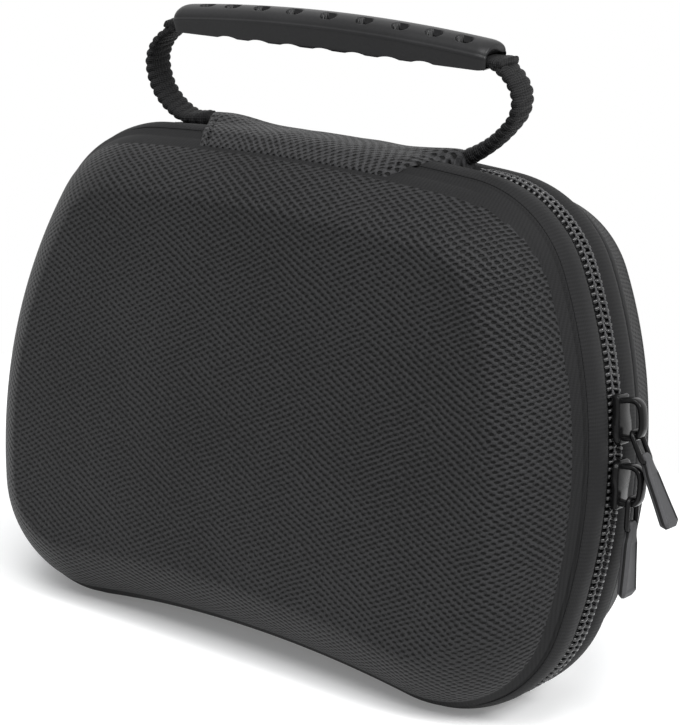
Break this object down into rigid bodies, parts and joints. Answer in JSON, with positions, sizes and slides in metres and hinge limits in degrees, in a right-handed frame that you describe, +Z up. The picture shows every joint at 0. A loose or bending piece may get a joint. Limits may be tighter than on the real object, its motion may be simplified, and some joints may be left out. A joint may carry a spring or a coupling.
{
  "type": "game controller carrying case",
  "caption": "Moulded zip-round carrying case shaped to a game controller, with fabric hinge, rubber-gripped strap handle, two zip sliders with pulls, net pocket and retaining strap.",
  "frame": {"origin": "on the floor, midway between the two bottom lobes, in the zip's middle plane", "axes": "+Z up, +X towards the side with the zip sliders (the viewer's right when facing the front), +Y from the front shell towards the rear shell"},
  "size_m": [0.195, 0.072, 0.1658],
  "materials": {
    "shell_fabric": "fine diagonal-weave polyester laminated on moulded EVA, matt",
    "strip_mesh": "coarse padded diamond mesh fabric, matt",
    "zip_tape": "smooth woven tape, matt",
    "coil_nylon": "nylon coil with stitching, low sheen",
    "slider_metal": "black enamelled die-cast zinc, glossy edges",
    "tab_rubber": "soft matt rubber coating",
    "grip_rubber": "moulded rubber, satin",
    "webbing": "cross-ribbed braided webbing",
    "pocket_net": "open polyester net",
    "elastic": "ribbed elastic band",
    "patch": "sewn fabric patch"
  },
  "bodies": {
    "rear": {"rear_shell": "shell_fabric", "zip_tape_rear": "zip_tape", "zip_coil_rear": "coil_nylon", "rear_edge_binding": "zip_tape", "retaining_strap": "elastic", "strap_anchor_left": "patch", "strap_anchor_right": "patch"},
    "lid": {"front_shell": "shell_fabric", "zip_tape_front": "zip_tape", "zip_coil_front": "coil_nylon", "front_edge_binding": "zip_tape", "mesh_pocket": "pocket_net", "pocket_hem": "elastic"},
    "strip": {"hinge_strip": "strip_mesh"},
    "handle": {"handle_strap": "webbing", "handle_grip": "grip_rubber"},
    "slider_upper": {"zip_slider_upper": "slider_metal"},
    "slider_lower": {"zip_slider_lower": "slider_metal"},
    "pull_upper": {"pull_link_upper": "slider_metal", "pull_tab_upper": "tab_rubber"},
    "pull_lower": {"pull_link_lower": "slider_metal", "pull_tab_lower": "tab_rubber"}
  },
  "joints": [
    {"name": "lid_open", "type": "hinge", "parent": "rear", "child": "lid", "pos_m": [0, 0, 0.1358], "axis": [-1, 0, 0], "range_deg": [0, 120], "deforming": ["hinge_strip"]},
    {"name": "strip_fold", "type": "hinge", "parent": "rear", "child": "strip", "pos_m": [0, 0, 0.1358], "axis": [-1, 0, 0], "range_deg": [0, 60], "deforming": ["hinge_strip"]},
    {"name": "handle_swing", "type": "hinge", "parent": "strip", "child": "handle", "pos_m": [0, 0, 0.1358], "axis": [-1, 0, 0], "range_deg": [-7, 29], "stiffness_Nm_per_rad": 0.03},
    {"name": "slider_upper_travel", "type": "hinge", "parent": "rear", "child": "slider_upper", "pos_m": [-0.044, 0, 0.0535], "axis": [0, -1, 0], "range_deg": [0, 12]},
    {"name": "slider_lower_travel", "type": "hinge", "parent": "rear", "child": "slider_lower", "pos_m": [-0.044, 0, 0.0535], "axis": [0, -1, 0], "range_deg": [-12.5, 0]},
    {"name": "pull_upper_swing", "type": "hinge", "parent": "slider_upper", "child": "pull_upper", "pos_m": [0.09231, 0, 0.07704], "axis": [0, -1, 0], "range_deg": [0, 106]},
    {"name": "pull_lower_swing", "type": "hinge", "parent": "slider_lower", "child": "pull_lower", "pos_m": [0.09412, 0, 0.06122], "axis": [0, -1, 0], "range_deg": [-11, 37]}
  ],
  "couplings": [
    {"joint": "strip_fold", "follows": "lid_open", "ratio": 0.5}
  ]
}
